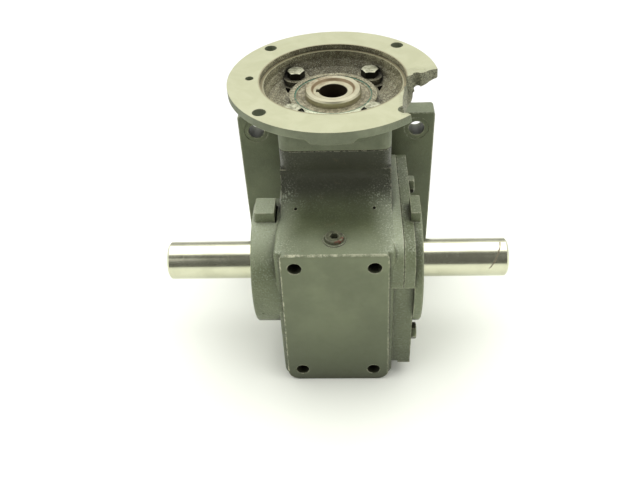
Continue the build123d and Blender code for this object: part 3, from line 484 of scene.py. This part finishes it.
def shaft_steel():
    """Bright ground steel with fine marks round its axis, a little rust and a brown scratch at the right."""
    s = Surface("shaft_steel", roughness=0.2, metallic=1.0)
    marks = s.noise(TOOL_MARK, 2, vector=s.stretch((1, TOOL_MARK_STRETCH, TOOL_MARK_STRETCH)))
    spots = s.patches(3.0 * MM, 0.63, 0.78, detail=5, rough=0.7)
    tint = s.mix(s.patches(20 * MM, 0.35, 0.7), SHAFT_BRIGHT, SHAFT_DULL)
    tint = s.mix(s.times(spots, 0.2), tint, RUST_SPOT)

    # The scratch leans over the upper front of the right end, with a little wobble
    lean = s.times(s.minus(s.z, SCRATCH_Z), SCRATCH_LEAN)
    wobble = s.times(s.noise(4 * MM, 3), SCRATCH_WOBBLE)
    along = s.plus(s.minus(s.x, SCRATCH_X), s.minus(lean, wobble))
    line = s.ramp(s.distance(along), 0.2 * MM, SCRATCH_HALF_WIDTH, 1.0, 0.0)
    upper = s.ramp(s.z, SHAFT_Z + 0.5 * MM, SHAFT_Z + 3 * MM)
    scratch = s.times(line, upper, s.under(s.y, SHAFT_Y), 0.8)

    s.colour(s.mix(scratch, tint, SHAFT_SCRATCH))
    s.metallic(s.minus(1.0, s.most(scratch, s.times(spots, 0.2))))
    s.roughness(s.ramp(marks, 0.2, 0.8, 0.16, 0.28))
    s.bump(marks, TOOL_MARK_DEPTH, 0.35, round_edges=MACHINED_ROUNDING)
    return s


def worm_steel():
    """Turned steel, rusted on the slope inside the quill's rim, at its rear left and in its bore."""
    s = Surface("worm_steel", roughness=0.36, metallic=1.0)
    radius = s.from_axis()
    marks = s.noise(TOOL_MARK, 2, vector=s.stretch((TOOL_MARK_STRETCH, TOOL_MARK_STRETCH, 1)))
    spots = s.patches(3.0 * MM, 0.63, 0.78, detail=5, rough=0.7)
    tint = s.mix(s.patches(20 * MM, 0.35, 0.7), QUILL_BRIGHT, QUILL_DULL)
    tint = s.mix(s.times(spots, 0.75), tint, RUST_SPOT)
    slope = s.ramp(s.distance(radius, SLOPE_R), 0.5 * MM, 1.5 * MM, 0.8, 0.0)
    slope = s.times(slope, s.over(s.z, SLOPE_LOW_Z))
    rear_left = s.plus(s.minus(s.y, s.x), s.times(spots, 6 * MM))
    rear_left = s.times(s.ramp(rear_left, 14 * MM, 26 * MM), s.patches(5 * MM, 0.4, 0.6, rough=0.7), 0.8)
    rust = s.most(slope, rear_left)
    bore = s.under(radius, BORE_R)
    s.colour(s.mix(bore, s.mix(rust, tint, QUILL_RUST), QUILL_BORE))
    s.metallic(s.minus(0.9, s.times(s.most(s.most(rust, bore), spots), 0.7)))
    s.roughness(s.ramp(marks, 0.2, 0.8, 0.3, 0.46))
    s.bump(marks, TOOL_MARK_DEPTH, 0.35, round_edges=MACHINED_ROUNDING)
    s.bump(s.noise(2 * MM, 3), 0.1 * MM, 0.4)
    return s


def seal_rubber():
    """Green lip seal that shows only as a thin ring, dusty grey-brown elsewhere."""
    s = Surface("green_seal", roughness=0.55)
    dust = s.mix(s.patches(3 * MM, 0.4, 0.7, rough=0.7), SEAL_DUST, SEAL_DUST_PALE)
    green = s.mix(s.patches(2 * MM, 0.45, 0.62, rough=0.7), SEAL_GREEN, SEAL_GREY)
    lip = s.ramp(s.distance(s.from_axis(), LIP_R), 0.5 * MM, 1.2 * MM, 1.0, 0.0)
    s.colour(s.mix(lip, dust, green))
    s.bump(s.noise(1.2 * MM, 3), 0.08 * MM, 0.6, round_edges=MACHINED_ROUNDING)
    return s


def rubber(name, tone, roughness=0.5):
    """Rubber or gasket sheet: one tone in darker and lighter clouds, with dust on it."""
    s = Surface(name, roughness=roughness)
    shade = tuple(0.6 * c for c in tone)
    base = s.mix(s.patches(3 * MM, 0.4, 0.7, rough=0.7), srgb(*tone), srgb(*shade))
    s.colour(s.mix(s.patches(1.5 * MM, 0.56, 0.7, 0.0, 0.6, rough=0.7), base, RUBBER_DUST))
    s.bump(s.noise(1.2 * MM, 3), 0.08 * MM, 0.6, round_edges=MACHINED_ROUNDING)
    return s


def plain_metal(name, tone, roughness=0.35, metallic=1.0, corner_shade=0.4, smear=None):
    """Small hardware: one tone with painted shade in its corners and paler edges. smear is the colour of what
    the filler plug carries on the side towards the front right."""
    s = Surface(name, roughness=roughness, metallic=metallic)
    shade = tuple(0.72 * c for c in tone)
    pale = tuple(min(255, 1.45 * c + 20) for c in tone)
    base = s.mix(s.patches(4 * MM, 0.35, 0.7), srgb(*tone), srgb(*shade))
    base = s.mix(s.times(s.edge(0.4 * MM), 0.7), base, srgb(*pale))
    if smear:
        side = s.minus(s.minus(s.x, PLUG_X), s.minus(s.y, PLUG_Y))
        smeared = s.times(s.ramp(side, 6 * MM, 8.5 * MM), s.patches(3 * MM, 0.44, 0.54), 0.7)
        base = s.mix(smeared, base, srgb(*smear))
    # Painted shade: darker in corners
    s.colour(s.mix(s.ramp(s.open_air(3 * MM), 0.2, 0.8, corner_shade, 0.0), base, PAINTED_CORNER_SHADE))
    s.roughness(s.patches(2.5 * MM, 0.3, 0.7, roughness * 0.8, roughness * 1.3, detail=3))
    s.bump(s.noise(0.9 * MM, 3), 0.06 * MM, 0.6, round_edges=MACHINED_ROUNDING)
    return s


def bolt_steel():
    """Black bolts with painted light: their upward faces a lighter grey-brown, as lit from above, their sides
    black.
    """
    s = Surface("bolt_steel", roughness=0.42, metallic=0.7)
    lit_top = s.mix(s.patches(2.4 * MM, 0.38, 0.62, rough=0.65), BOLT_LIT_TOP, BOLT_LIT_TOP_PALE)
    # Painted light: upward faces lighter grey-brown, sides black
    s.colour(s.mix(s.ramp(s.upward, 0.4, 0.8), BOLT_BLACK, lit_top))
    s.bump(s.noise(0.9 * MM, 3), 0.06 * MM, 0.6, round_edges=MACHINED_ROUNDING)
    return s


# ---------------------------------------------------------------- materials onto the CAD nodes

bearing = plain_metal("bearing_steel", (205, 205, 198), roughness=0.15, corner_shade=0.2)
casting = paint("casting_paint")
shaft = shaft_steel()
finishes = {
    "housing": paint("housing_paint", smooth_front=True),
    "side_cover": casting,
    "end_cap": casting,
    "cover_bolts": paint("bolt_paint", cast=0.3, wear=0.8),
    "back_plate": paint("plate_paint", cast=0.3, wear=0.8),
    "input_flange": flange_iron(),
    "flange_bolts": bolt_steel(),
    "input_seal": seal_rubber(),
    "worm_shaft": worm_steel(),
    "filler_plug": plain_metal("plug_iron", (116, 118, 96), 0.45, 0.3, corner_shade=0.8, smear=(112, 40, 26)),
}

# Every other node takes the first finish whose word is in its name, or else the shaft's
finishes_by_word = (
    ("seal", rubber("black_seal", (38, 38, 36))),
    ("gasket", rubber("gasket_sheet", (40, 38, 30), roughness=0.8)),
    ("retaining_ring", plain_metal("spring_steel", (90, 90, 88), roughness=0.3)),
    ("_ring", bearing),
    ("_balls", bearing),
    ("_rollers", bearing),
    ("_cone", bearing),
    ("_cup", bearing),
    ("_cage", plain_metal("cage_steel", (150, 148, 138), roughness=0.3)),
    ("screws", plain_metal("dark_screws", (70, 66, 54), roughness=0.4)),
    ("worm_wheel", plain_metal("wheel_bronze", (196, 150, 84), roughness=0.3)),
    ("wheel_hub", plain_metal("hub_iron", (130, 130, 126), roughness=0.4)),
    ("plug", plain_metal("drain_iron", (96, 94, 76), roughness=0.5, metallic=0.5, corner_shade=0.8)),
)
for key, node in nodes.items():
    by_word = [finish for word, finish in finishes_by_word if word in key]
    surface = finishes.get(key) or (by_word + [shaft])[0]
    node.data.materials.clear()
    node.data.materials.append(surface.material)

# ---------------------------------------------------------------- floor, light and camera

# The table runs flat from its front edge to the fold, then bends up in steps to the top of the backdrop
TABLE_HALF_X = 6.0
TABLE_FRONT_Y = -4.0
FOLD_Y = 0.14
BACKDROP_TONE_Y = (0.138, 0.146)
BEND_STEPS = 8
BEND_RUN = 0.5
BACKDROP_Y = 6.0
BACKDROP_TOP_Z = 3.0

ROOM_LIGHT = 1.2
ROOM_DARK = 0.16
ROOM_LOWEST = 0.15
ROOM_SEEN = 0.95
ROOM_TINT = (1.0, 1.0, 0.97, 1)

# Each softbox: place, target, size in metres and watts
SOFTBOXES = {
    "overhead": ((0.0, 0.5, 1.45), (0, 0, -0.1), (2.2, 2.0), 23),
    "front_left": ((-1.1, -1.3, 1.0), (0, 0, -0.12), (1.0, 1.0), 3),
    "front_right": ((1.2, -1.2, 0.9), (0, 0, -0.12), (1.0, 1.0), 2.4),
}

CAMERA_PLACE = (0.014236, -0.497402, 0.256858)
CAMERA_TURN_DEG = (49.5653, 2.3245, 1.5724)
LENS_MM = 39.383
SENSOR_MM = 36


def floor():
    """A white table top that turns up softly behind the object into a slightly darker backdrop."""
    s = Surface("floor_white", roughness=0.7, specular=0.2)
    table_white = s.mix(s.noise(0.4, 2, 0.5), TABLE, TABLE_LIGHT)
    behind = s.ramp(s.y, *BACKDROP_TONE_Y)
    s.colour(s.mix(behind, table_white, BACKDROP))
    rows = [(TABLE_FRONT_Y, FLOOR_Z), (FOLD_Y, FLOOR_Z)]
    for step in range(1, BEND_STEPS + 1):
        rise = math.tan(math.radians(step)) * BEND_RUN / 2 * step
        rows.append((FOLD_Y + BEND_RUN * step, FLOOR_Z + rise))
    rows.append((BACKDROP_Y, BACKDROP_TOP_Z))
    points = []
    for y, z in rows:
        points += [(-TABLE_HALF_X, y, z), (TABLE_HALF_X, y, z)]
    faces = [(2 * i, 2 * i + 1, 2 * i + 3, 2 * i + 2) for i in range(len(rows) - 1)]
    mesh = bpy.data.meshes.new("floor")
    mesh.from_pydata(points, [], faces)
    mesh.materials.append(s.material)
    table = bpy.data.objects.new("floor", mesh)
    bpy.context.scene.collection.objects.link(table)


def softbox(name, place, target, size, watts):
    """A rectangular area light that faces its target."""
    light = bpy.data.lights.new(name, "AREA")
    light.shape = "RECTANGLE"
    light.size, light.size_y = size
    light.energy = watts
    lamp = bpy.data.objects.new(name, light)
    lamp.location = place
    direction = Vector(target) - Vector(place)
    lamp.rotation_euler = direction.to_track_quat("-Z", "Y").to_euler()
    bpy.context.scene.collection.objects.link(lamp)


def room():
    """Pale light from all round; the middle of the room in front is dark, darkest low down, and the camera
    sees one even tone."""
    surroundings = bpy.data.worlds.new("room")
    bpy.context.scene.world = surroundings
    surroundings.use_nodes = True
    s = Tree(surroundings.node_tree)
    x, y, z = s.split(s.node("ShaderNodeTexCoord").outputs["Generated"])
    in_front = s.ramp(y, -0.42, -0.12, 1.0, 0.0)
    middle = s.ramp(s.distance(x), 0.42, 0.72, 1.0, 0.0)
    dark = s.times(in_front, middle)
    lowest = s.times(dark, s.ramp(z, 0.0, 0.16, 1.0, 0.0))
    level = s.times(s.ramp(dark, 0.0, 1.0, ROOM_LIGHT, ROOM_DARK), s.ramp(lowest, 0.0, 1.0, 1.0, ROOM_LOWEST))
    shown = s.node("ShaderNodeMix", data_type="FLOAT")
    s.wire(s.node("ShaderNodeLightPath").outputs["Is Camera Ray"], shown.inputs["Factor"])
    s.wire(level, shown.inputs["A"])
    shown.inputs["B"].default_value = ROOM_SEEN
    background = s.tree.nodes["Background"]
    background.inputs["Color"].default_value = ROOM_TINT
    s.wire(shown.outputs["Result"], background.inputs["Strength"])


floor()
room()
for name, settings in SOFTBOXES.items():
    softbox(name, *settings)

camera_data = bpy.data.cameras.new("camera")
camera_data.sensor_width = SENSOR_MM
camera_data.lens = LENS_MM
camera = bpy.data.objects.new("camera", camera_data)
camera.location = CAMERA_PLACE
camera.rotation_euler = [math.radians(angle) for angle in CAMERA_TURN_DEG]
bpy.context.scene.collection.objects.link(camera)
bpy.context.scene.camera = camera
bpy.context.scene.view_settings.view_transform = "Standard"
